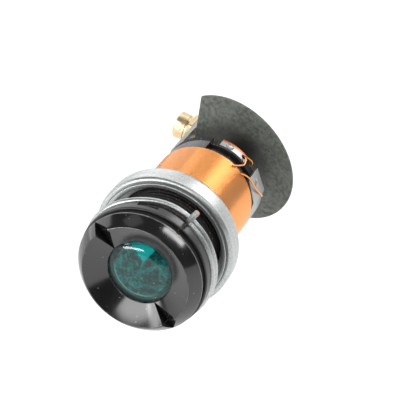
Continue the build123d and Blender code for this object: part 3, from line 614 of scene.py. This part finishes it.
# LEADS
# The winding's two ends and the wire to the lamp contact: the winding's copper wire, bent by hand and
# soldered at the lug and the tab. Each stop on a route is a clock angle, a radius and a place along Y.
lead_radius = 0.25
lead_routes = {
    "lug_lead": [(51, 15.08, 38.0), (43, 15.08, 41.41), (41, 15.08, 43.29), (46.5, 15.08, 46.4),
                 (46.5, 13.73, 46.4)],
    "tab_lead": [(39, 15.08, 38.4), (32, 15.35, 40.71), (12, 15.05, 42.59), (-3, 15.05, 46.73),
                 (-8, 14.83, 48.3)],
    "contact_lead": [(44.5, 14.48, 46.78), (37.5, 14.48, 48.18), (31, 13.7, 48.18), (31, 9.0, 48.18),
                     (31, 9.0, 45.85)],
}
for node, route in lead_routes.items():
    path = path_curve(node + "_path", [at(*stop) for stop in route], "NURBS")
    wire = grown(node + "_wire", round_wire, {
        "Wire radius": lead_radius * mm, "Sides": 12, "Finish": copper}, path)
    shown(node + "_wire", wire, copper, "body", [node], sharp=60)

# SCREW TERMINAL
# A square brass wire clamp, a washer and a cheese-head brass screw, which holds both to the rear
# strip. The clamp and the washer are stamped, and the screw is turned.

# Plain brass: a pale yellow metal with darker tarnish in patches, and fine tool marks that spread
# its highlights.
brass, tree = new_finish("Plain turned brass")
tarnish_size, mark_size, mark_depth = 1.6, 0.12, 0.02
place = add(tree, "ShaderNodeTexCoord").outputs["Object"]
tarnish = add(tree, "ShaderNodeTexNoise", {}, {
    "Vector": place, "Scale": 1 / (tarnish_size * mm), "Detail": 6})
marks = add(tree, "ShaderNodeTexNoise", {}, {"Vector": place, "Scale": 1 / (mark_size * mm), "Detail": 2})
yellow = add(tree, "ShaderNodeMix", {"data_type": "RGBA"}, {
    0: tarnish.outputs[0], 6: linear("#efdfba"), 7: linear("#d2b586")})
gloss = add(tree, "ShaderNodeMapRange", {}, {0: tarnish.outputs[0], 3: 0.22, 4: 0.45})
relief = add(tree, "ShaderNodeBump", {}, {
    "Strength": 0.25, "Distance": mark_depth * mm, "Height": marks.outputs[0]})
skin = add(tree, "ShaderNodeBsdfPrincipled", {}, {
    "Base Color": yellow.outputs[2], "Roughness": gloss.outputs[0], "Normal": relief.outputs[0],
    "Metallic": 0.95})
add(tree, "ShaderNodeOutputMaterial", {}, {0: skin.outputs[0]})

for name, node in (("clamp_plate", "wire_clamp"), ("screw_washer", "terminal_washer"),
                   ("rear_screw", "terminal_screw")):
    shown(name, trimmed(node), brass, "body", [node], bevel=0.12)

# FIBRE DISC
# A stamped disc of grey vulcanised fibre with one flat, which leans on the post and shields the
# connections. It is held by a brass screw and washer behind it.

# Pressed cotton fibre: a matt grey-green board, mottled like felt, with pale scuffs from handling,
# and darker round the post, in part grime and in part painted shade where the body shades the disc.
fibre, tree = new_finish("Grey vulcanised fibre")
mottle_size, hair_size, hair_depth, scuff_size = 1.0, 0.25, 0.04, 5.5
grime_and_shade_from, grime_and_shade_to = 8.0, 15.5
place = add(tree, "ShaderNodeTexCoord").outputs["Object"]
mottle = add(tree, "ShaderNodeTexNoise", {}, {
    "Vector": place, "Scale": 1 / (mottle_size * mm), "Detail": 6, "Roughness": 0.62})
hairs = add(tree, "ShaderNodeTexNoise", {}, {"Vector": place, "Scale": 1 / (hair_size * mm), "Detail": 3})
rubbed = add(tree, "ShaderNodeTexNoise", {}, {
    "Vector": place, "Scale": 1 / (scuff_size * mm), "Detail": 2, "Distortion": 1.4})
spread = add(tree, "ShaderNodeMapRange", {"interpolation_type": "SMOOTHSTEP"}, {
    0: mottle.outputs[0], 1: 0.32, 2: 0.68, 3: 0.0, 4: 1.0})
grey = add(tree, "ShaderNodeMix", {"data_type": "RGBA"}, {
    0: spread.outputs[0], 6: linear("#474c45"), 7: linear("#6d726a")})
pale = add(tree, "ShaderNodeMapRange", {}, {0: rubbed.outputs[0], 1: 0.45, 2: 0.75, 3: 0.0, 4: 0.45})
marked = add(tree, "ShaderNodeMix", {"data_type": "RGBA"}, {
    0: pale.outputs[0], 6: grey.outputs[2], 7: linear("#858981")})
# Painted shade, with some grime: the board darkens towards the post, near the axis.
_, radius = from_axis(tree, place)
grime_and_shade = add(tree, "ShaderNodeMapRange", {"interpolation_type": "SMOOTHSTEP"}, {
    0: radius, 1: grime_and_shade_from * mm, 2: grime_and_shade_to * mm, 3: 0.8, 4: 0.0})
soiled_and_shaded = add(tree, "ShaderNodeMix", {"data_type": "RGBA"}, {
    0: grime_and_shade.outputs[0], 6: marked.outputs[2], 7: linear("#24221e")})
relief = add(tree, "ShaderNodeBump", {}, {
    "Strength": 0.3, "Distance": hair_depth * mm, "Height": hairs.outputs[0]})
skin = add(tree, "ShaderNodeBsdfPrincipled", {}, {
    "Base Color": soiled_and_shaded.outputs[2], "Roughness": 0.55, "Normal": relief.outputs[0]})
add(tree, "ShaderNodeOutputMaterial", {}, {0: skin.outputs[0]})

shown("disc_plate", trimmed("fibre_disc"), fibre, "body", ["fibre_disc"], bevel=0.12)
for name, node in (("post_washer", "disc_washer"), ("post_screw", "disc_screw")):
    shown(name, trimmed(node), brass, "body", [node], bevel=0.12)

# LAMP AND SOCKET
# A small screw-base lamp in a brass socket on the chamber's end wall, with a fibre washer and a
# brass contact behind it. The frosted back of the lens hides them.


def dressed(node, finish):
    """Give its finish to a CAD node that is shown as it is."""
    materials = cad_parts[node].data.materials
    materials.clear()
    materials.append(finish)


# Lamp glass: pale and glossy, faintly clouded, with a plain brass screw base behind it.
lamp_finish, tree = new_finish("Lamp glass on a brass base")
base_front, lamp_cloud_size = 25.2, 2.0
place = add(tree, "ShaderNodeTexCoord").outputs["Object"]
along = add(tree, "ShaderNodeSeparateXYZ", {}, {0: place}).outputs["Y"]
on_base = add(tree, "ShaderNodeMath", {"operation": "GREATER_THAN"}, {0: along, 1: base_front * mm})
cloud = add(tree, "ShaderNodeTexNoise", {}, {
    "Vector": place, "Scale": 1 / (lamp_cloud_size * mm), "Detail": 4})
glass_tone = add(tree, "ShaderNodeMix", {"data_type": "RGBA"}, {
    0: cloud.outputs[0], 6: linear("#c8cac6"), 7: linear("#e9eae6")})
tone = add(tree, "ShaderNodeMix", {"data_type": "RGBA"}, {
    0: on_base.outputs[0], 6: glass_tone.outputs[2], 7: linear("#c9a86a")})
skin = add(tree, "ShaderNodeBsdfPrincipled", {}, {
    "Base Color": tone.outputs[2], "Roughness": 0.15, "Metallic": on_base.outputs[0]})
add(tree, "ShaderNodeOutputMaterial", {}, {0: skin.outputs[0]})
for node, finish in (("lamp", lamp_finish), ("lamp_socket", brass), ("centre_contact", brass),
                     ("socket_insulator", fibre)):
    dressed(node, finish)

# LENS
# A disc of teal glass, pressed with a flat-topped dome, behind the bezel's lip between a rubber gasket
# and a steel ring. Its back is hollowed with a chamfer round the hollow, and a bright line is painted
# on the chamfer's lower side as a highlight.
lens_radius, lens_round, dome_radius = 10.8, 0.1, 8.75
lens_front, lens_back, dome_edge, dome_rise = -3.85, -2.45, -5.15, 1.1
dome_power, dome_steps = 3.6, 40
hollow_radius, hollow_depth, hollow_chamfer = 7.6, 0.6, 0.5

# Pressed teal glass: a clear polished dome over a frosted back, which shows through it in streaks of
# dark and bright teal. Painted light lies on the frosting: a bright wedge above, painted to stand for
# the light that the glass gathers, and a painted highlight along the hollow's lower edge. Specks of
# bronze dust lie on the dome.
teal, tree = new_finish("Teal pressed glass")
cloud_size, glass_grain_size, rear_from, edge_slack = 3.2, 0.65, -3.5, 0.02
painted_wedge_x, painted_wedge_slope, painted_wedge_rag, painted_wedge_foot, painted_wedge_full = 0.7, 1.25, 2.4, 3.6, 4.2
low_left, highlight_from, highlight_full = (-0.5, 0, -0.87), 0.2 * hollow_radius, 0.85 * hollow_radius
place = add(tree, "ShaderNodeTexCoord").outputs["Object"]
spot = add(tree, "ShaderNodeSeparateXYZ", {}, {0: place}).outputs
_, radius = from_axis(tree, place)
behind = add(tree, "ShaderNodeMath", {"operation": "GREATER_THAN"}, {0: spot["Y"], 1: rear_from * mm})
on_rim = add(tree, "ShaderNodeMath", {"operation": "GREATER_THAN"}, {
    0: radius, 1: (hollow_radius + edge_slack) * mm})
on_edge = add(tree, "ShaderNodeMath", {"operation": "GREATER_THAN"}, {
    0: radius, 1: (hollow_radius - hollow_chamfer - edge_slack) * mm})
cloud = add(tree, "ShaderNodeTexNoise", {}, {
    "Vector": place, "Scale": 1 / (cloud_size * mm), "Detail": 2, "Roughness": 0.5, "Distortion": 1.6})
grain = add(tree, "ShaderNodeTexNoise", {}, {
    "Vector": place, "Scale": 1 / (glass_grain_size * mm), "Detail": 4, "Roughness": 0.7})
mixed = add(tree, "ShaderNodeMath", {"operation": "MULTIPLY"}, {0: cloud.outputs[0], 1: grain.outputs[0]})
spread = add(tree, "ShaderNodeMapRange", {"interpolation_type": "SMOOTHSTEP"}, {
    0: mixed.outputs[0], 1: 0.16, 2: 0.42})
frost = add(tree, "ShaderNodeMix", {"data_type": "RGBA"}, {
    0: spread.outputs[0], 6: linear("#03403f"), 7: linear("#06aaa4")})
# Painted glow: a bright wedge at the top of the frosting, standing for the light that the glass gathers.
aside = add(tree, "ShaderNodeMath", {"operation": "SUBTRACT"}, {0: spot["X"], 1: painted_wedge_x * mm})
width = add(tree, "ShaderNodeMath", {"operation": "ABSOLUTE"}, {0: aside.outputs[0]})
above = add(tree, "ShaderNodeMath", {"operation": "MULTIPLY_ADD"}, {
    0: width.outputs[0], 1: -painted_wedge_slope, 2: spot["Z"]})
ragged = add(tree, "ShaderNodeMath", {"operation": "MULTIPLY_ADD"}, {
    0: grain.outputs[0], 1: painted_wedge_rag * mm, 2: above.outputs[0]})
painted_wedge = add(tree, "ShaderNodeMapRange", {"interpolation_type": "SMOOTHSTEP"}, {
    0: ragged.outputs[0], 1: painted_wedge_foot * mm, 2: painted_wedge_full * mm})
painted_glow = add(tree, "ShaderNodeMix", {"data_type": "RGBA"}, {
    0: painted_wedge.outputs[0], 6: frost.outputs[2], 7: linear("#10e0dc")})
# Painted highlight: a bright line on the hollow's chamfer, only on its lower-left side.
low_side = add(tree, "ShaderNodeVectorMath", {"operation": "DOT_PRODUCT"}, {0: place, 1: low_left})
lower = add(tree, "ShaderNodeMapRange", {"interpolation_type": "SMOOTHSTEP"}, {
    0: low_side.outputs["Value"], 1: highlight_from * mm, 2: highlight_full * mm})
painted_highlight_line = add(tree, "ShaderNodeMath", {"operation": "MULTIPLY"}, {
    0: on_edge.outputs[0], 1: lower.outputs[0]})
highlight_painted = add(tree, "ShaderNodeMix", {"data_type": "RGBA"}, {
    0: painted_highlight_line.outputs[0], 6: painted_glow.outputs[2], 7: linear("#60fff4")})
backed = add(tree, "ShaderNodeMix", {"data_type": "RGBA"}, {
    0: on_rim.outputs[0], 6: highlight_painted.outputs[2], 7: linear("#014648")})
dust = specks(tree, place, spacing=1.7, radius=0.11, left_out=0.45)
dusted = add(tree, "ShaderNodeMix", {"data_type": "RGBA"}, {
    0: dust.outputs[0], 6: linear("#8fe2e0"), 7: linear("#b08a6c")})
tint = add(tree, "ShaderNodeMix", {"data_type": "RGBA"}, {
    0: behind.outputs[0], 6: dusted.outputs[2], 7: backed.outputs[2]})
opaque = add(tree, "ShaderNodeMath", {"operation": "MAXIMUM"}, {0: behind.outputs[0], 1: dust.outputs[0]})
clear = add(tree, "ShaderNodeMath", {"operation": "SUBTRACT"}, {0: 1.0, 1: opaque.outputs[0]})
gloss = add(tree, "ShaderNodeMapRange", {}, {0: opaque.outputs[0], 3: 0.07, 4: 0.6})
skin = add(tree, "ShaderNodeBsdfPrincipled", {}, {
    "Base Color": tint.outputs[2], "Roughness": gloss.outputs[0], "IOR": 1.52,
    "Transmission Weight": clear.outputs[0]})
add(tree, "ShaderNodeOutputMaterial", {}, {0: skin.outputs[0]})

dome_top = dome_edge - dome_rise
dome = []
for step in range(dome_steps + 1):
    share = 1 - step / dome_steps
    dome.append((dome_radius * share, dome_top + dome_rise * share ** dome_power, 0))
hollow_floor = lens_back - hollow_depth
lens_outline = rounded([
    (0, hollow_floor, 0), (hollow_radius - hollow_chamfer, hollow_floor, 0),
    (hollow_radius, hollow_floor + hollow_chamfer, 0), (hollow_radius, lens_back, 0),
    (lens_radius, lens_back, lens_round), (lens_radius, lens_front, lens_round),
    (dome_radius, lens_front, 0), *dome])
lens_mesh = turned("lens_glass", lens_outline)
shown("lens_glass", lens_mesh, teal, "lens_carrier", ["lens"], sharp=40)

# Black rubber: dull and nearly black, with a faint chalky bloom.
rubber, tree = new_finish("Black rubber sheet")
chalk_size = 0.6
place = add(tree, "ShaderNodeTexCoord").outputs["Object"]
chalk = add(tree, "ShaderNodeTexNoise", {}, {"Vector": place, "Scale": 1 / (chalk_size * mm), "Detail": 5})
dull = add(tree, "ShaderNodeMix", {"data_type": "RGBA"}, {
    0: chalk.outputs[0], 6: linear("#101010"), 7: linear("#242322")})
skin = add(tree, "ShaderNodeBsdfPrincipled", {}, {"Base Color": dull.outputs[2], "Roughness": 0.75})
add(tree, "ShaderNodeOutputMaterial", {}, {0: skin.outputs[0]})
for node, finish in (("lens_gasket", rubber), ("bezel_gasket", rubber), ("lens_retainer", zinc)):
    dressed(node, finish)

# BEZEL
# A cap of black phenolic with a dished face, turned, which screws into the body and holds the lens.
# One cut across its face leaves two spanner grooves, each with a steep wall and a slope.
window_radius, window_edge, window_back, window_round = 9.05, -5.4, -4.4, 0.22
ridge_radius_out, ridge_y, ridge_round = 14.9, -8.6, 0.345
bezel_radius, rim_front, rim_back, rim_round, rim_back_round = 17.5, -5.35, -4.95, 0.15, 0.1
skirt_radius, skirt_end, skirt_round, lens_bore, lip_round = 12.5, 2.55, 0.15, 10.9, 0.1
cone_crown = 0.12
groove_angle, groove_wall, groove_slope_end, groove_overrun = 128.2, -1.85, 2.3, 2.0
groove_bottom, groove_slope_top, groove_mouth = -5.25, -8.1, -9.6

# Black phenolic, turned and polished: a glossy black with faint turning rings, pale dust, and a thin
# pale line along each edge, in part wear and in part a painted highlight.
polished, tree = new_finish("Polished black phenolic")
turning_pitch, turning_depth, haze_size, wear_and_highlight_width = 0.22, 0.01, 2.5, 0.12
place = add(tree, "ShaderNodeTexCoord").outputs["Object"]
rings = add(tree, "ShaderNodeTexWave", {"wave_type": "RINGS", "rings_direction": "Y"}, {
    "Vector": place, "Scale": pi / (10 * turning_pitch * mm), "Distortion": 0.6, "Detail Scale": 3.0})
haze = add(tree, "ShaderNodeTexNoise", {}, {"Vector": place, "Scale": 1 / (haze_size * mm), "Detail": 5})
black = add(tree, "ShaderNodeMix", {"data_type": "RGBA"}, {
    0: haze.outputs[0], 6: linear("#121112"), 7: linear("#1d1c1d")})
_, radius = from_axis(tree, place)
wear_and_highlight_patches = add(tree, "ShaderNodeMapRange", {}, {0: haze.outputs[0], 1: 0.35, 2: 0.7, 3: 0.0, 4: 0.45})
worn = specks(tree, place, spacing=1.35, radius=0.09, left_out=0.5)
# Each edge gets a thin pale line: wear, and a painted highlight too.
for edge_radius in (ridge_radius_out, bezel_radius, window_radius):
    line = add(tree, "ShaderNodeMath", {"operation": "COMPARE"}, {
        0: radius, 1: edge_radius * mm, 2: wear_and_highlight_width / 2 * mm})
    patchy = add(tree, "ShaderNodeMath", {"operation": "MULTIPLY"}, {
        0: line.outputs[0], 1: wear_and_highlight_patches.outputs[0]})
    worn = add(tree, "ShaderNodeMath", {"operation": "MAXIMUM"}, {0: worn.outputs[0], 1: patchy.outputs[0]})
dusted = add(tree, "ShaderNodeMix", {"data_type": "RGBA"}, {
    0: worn.outputs[0], 6: black.outputs[2], 7: linear("#99938a")})
gloss = add(tree, "ShaderNodeMapRange", {}, {0: haze.outputs[0], 3: 0.10, 4: 0.19})
relief = add(tree, "ShaderNodeBump", {}, {
    "Strength": 0.12, "Distance": turning_depth * mm, "Height": rings.outputs[1]})
skin = add(tree, "ShaderNodeBsdfPrincipled", {}, {
    "Base Color": dusted.outputs[2], "Roughness": gloss.outputs[0], "Normal": relief.outputs[0],
    "IOR": 1.75})
add(tree, "ShaderNodeOutputMaterial", {}, {0: skin.outputs[0]})

cone = Vector((bezel_radius - ridge_radius_out, rim_front - ridge_y))
crown = Vector((cone.y, -cone.x)).normalized() * cone_crown
cone_points = []
for share in (0.25, 0.5, 0.75):
    spot = Vector((ridge_radius_out, ridge_y)) + cone * share + crown * 4 * share * (1 - share)
    cone_points.append((spot.x, spot.y, 0))
cap_outline = rounded([
    (window_radius, window_edge, window_round), (ridge_radius_out, ridge_y, ridge_round), *cone_points,
    (bezel_radius, rim_front, rim_round), (bezel_radius, rim_back, rim_back_round),
    (skirt_radius, rim_back, 0), (skirt_radius, skirt_end, skirt_round), (lens_bore, skirt_end, skirt_round),
    (lens_bore, window_back, 0), (window_radius, window_back, lip_round)])
cap = turned("bezel_cap", cap_outline, steps=256)
cut_along = at(groove_angle, 1, 0).normalized()
cut_across = at(groove_angle - 90, 1, 0).normalized()
groove_section = [(groove_wall, groove_mouth), (groove_wall, groove_bottom),
                  (groove_slope_end, groove_slope_top), (groove_slope_end, groove_mouth)]
groove_reach = bezel_radius + groove_overrun
cutter = bmesh.new()
ends = []
for reach in (-groove_reach, groove_reach):
    ends.append([cutter.verts.new((cut_along * reach + cut_across * offset + Vector((0, y, 0))) * mm)
                 for offset, y in groove_section])
for i in range(4):
    k = (i + 1) % 4
    cutter.faces.new((ends[0][i], ends[0][k], ends[1][k], ends[1][i]))
cutter.faces.new(ends[0])
cutter.faces.new(ends[1])
bmesh.ops.recalc_face_normals(cutter, faces=cutter.faces)
groove = mesh_of(cutter, "groove")
cap = carved(cap, [groove])
shown("bezel_cap", cap, polished, "bezel", ["bezel"], bevel=0.06, sharp=32)

# FLOOR
# A plain white table of painted board, well below the light so that its shadow is soft.
# It is flat and wide enough to reach past every view.
floor_level, floor_size = -0.15, 40.0


def sheet(name, corners, finish):
    """A flat four-cornered sheet in one finish, placed for the picture alone."""
    mesh = bpy.data.meshes.new(name)
    mesh.from_pydata(corners, [], [(0, 1, 2, 3)])
    mesh.materials.append(finish)
    made = placed(name, mesh)
    return made


# White board: matt, with a glow of its own that keeps it white to its far edge.
table, tree = new_finish("White table")
skin = add(tree, "ShaderNodeBsdfPrincipled", {}, {
    "Base Color": linear("#7c7c7c"), "Roughness": 0.9, "Emission Color": linear("#ffffff"),
    "Emission Strength": 0.95})
add(tree, "ShaderNodeOutputMaterial", {}, {0: skin.outputs[0]})
half_floor = floor_size / 2
sheet("floor", [(-half_floor, -half_floor, floor_level), (half_floor, -half_floor, floor_level),
                (half_floor, half_floor, floor_level), (-half_floor, half_floor, floor_level)], table)

# DARK CARD
# A black card that stands on the table in front, out of the camera's sight. The lens and the dish
# mirror its edge, which gives them their dark side.
card_left, card_right, card_distance, card_top = -0.26, 0.62, 0.62, 0.10

# Black card: matt, and so dark that a polished face turned towards it looks black.
dark, tree = new_finish("Black card")
skin = add(tree, "ShaderNodeBsdfPrincipled", {}, {"Base Color": linear("#0b0b0b"), "Roughness": 1.0})
add(tree, "ShaderNodeOutputMaterial", {}, {0: skin.outputs[0]})
card = sheet("dark_card", [
    (card_left, -card_distance, floor_level), (card_right, -card_distance, floor_level),
    (card_right, -card_distance, card_top), (card_left, -card_distance, card_top)], dark)
card.visible_camera = card.visible_shadow = card.visible_diffuse = False

# LIGHTS
# Soft boxes in a room that is dim to the object and white to the camera. Each box is given by its
# direction from the light, its distance, size, brightness and roll, and its power follows from those.
focus = Vector((0, 20, 0)) * mm
soft_boxes = {
    "front left": ((-0.27, -0.87, 0.37), 0.8, (0.62, 0.20), 4.8, 0),
    "front top": ((0.0, -0.78, 0.62), 0.8, (0.50, 0.22), 2.5, 0),
    "right window": ((0.60, -0.31, 0.735), 0.8, (0.12, 0.50), 9.0, 23),
    "left top": ((-0.40, -0.31, 0.86), 0.8, (0.30, 0.30), 0.5, 0),
    "left front": ((-0.68, -0.70, 0.22), 0.8, (0.30, 0.22), 5.0, 0),
    "lens strip": ((-0.444, -0.896, -0.02), 0.55, (0.26, 0.05), 13.0, 0),
    "far left": ((-0.95, 0.05, 0.25), 0.8, (0.50, 0.50), 1.5, 0),
    "top back": ((0.0, 0.45, 0.89), 0.8, (0.70, 0.45), 1.2, 0),
    "back left": ((-0.50, 0.78, 0.36), 0.9, (0.60, 0.50), 0.9, 0),
    "back right": ((0.36, 0.78, 0.51), 0.9, (0.32, 0.36), 4.0, 0),
    "back wall": ((0.04, 0.84, 0.45), 1.1, (3.00, 1.30), 0.8, 0),
}
for name, (direction, distance, (width, depth), brightness, roll) in soft_boxes.items():
    box = bpy.data.lights.new(name, "AREA")
    box.shape = "RECTANGLE"
    box.size, box.size_y = width, depth
    box.energy = brightness * pi * width * depth
    lamp_object = placed(name, box)
    toward = Vector(direction).normalized()
    lamp_object.location = focus + toward * distance
    aim = toward.to_track_quat("Z", "Y") @ Quaternion((0, 0, 1), radians(roll))
    lamp_object.rotation_euler = aim.to_euler()
    lamp_object.visible_camera = False
room = bpy.data.worlds.new("room")
room.use_nodes = True
walls = room.node_tree
walls.nodes.clear()
dim = add(walls, "ShaderNodeBackground", {}, {"Color": linear("#6a6a6c"), "Strength": 0.6})
sweep = add(walls, "ShaderNodeBackground", {}, {"Color": linear("#ffffff"), "Strength": 1.05})
seen = add(walls, "ShaderNodeLightPath").outputs["Is Camera Ray"]
backdrop = add(walls, "ShaderNodeMixShader", {}, {0: seen, 1: dim.outputs[0], 2: sweep.outputs[0]})
add(walls, "ShaderNodeOutputWorld", {}, {0: backdrop.outputs[0]})
bpy.context.scene.world = room
bpy.context.scene.view_settings.view_transform = "Standard"

# CAMERA
# A long lens from the front, right and above, as in the photograph. Its place and angles were fitted
# to the object's round edges.
azimuth, elevation = 21.1445, 29.5262
stand = Vector((160.206, -370.220, 244.800)) * mm
photo_width, focal_pixels = 416, 1800
camera = bpy.data.cameras.new("camera")
camera.sensor_width = 36
camera.lens = camera.sensor_width * focal_pixels / photo_width
camera.clip_start, camera.clip_end = 0.01, 60
camera_object = placed("camera", camera)
camera_object.location = stand
camera_object.rotation_euler = (radians(90 - elevation), 0, radians(azimuth))
bpy.context.scene.camera = camera_object
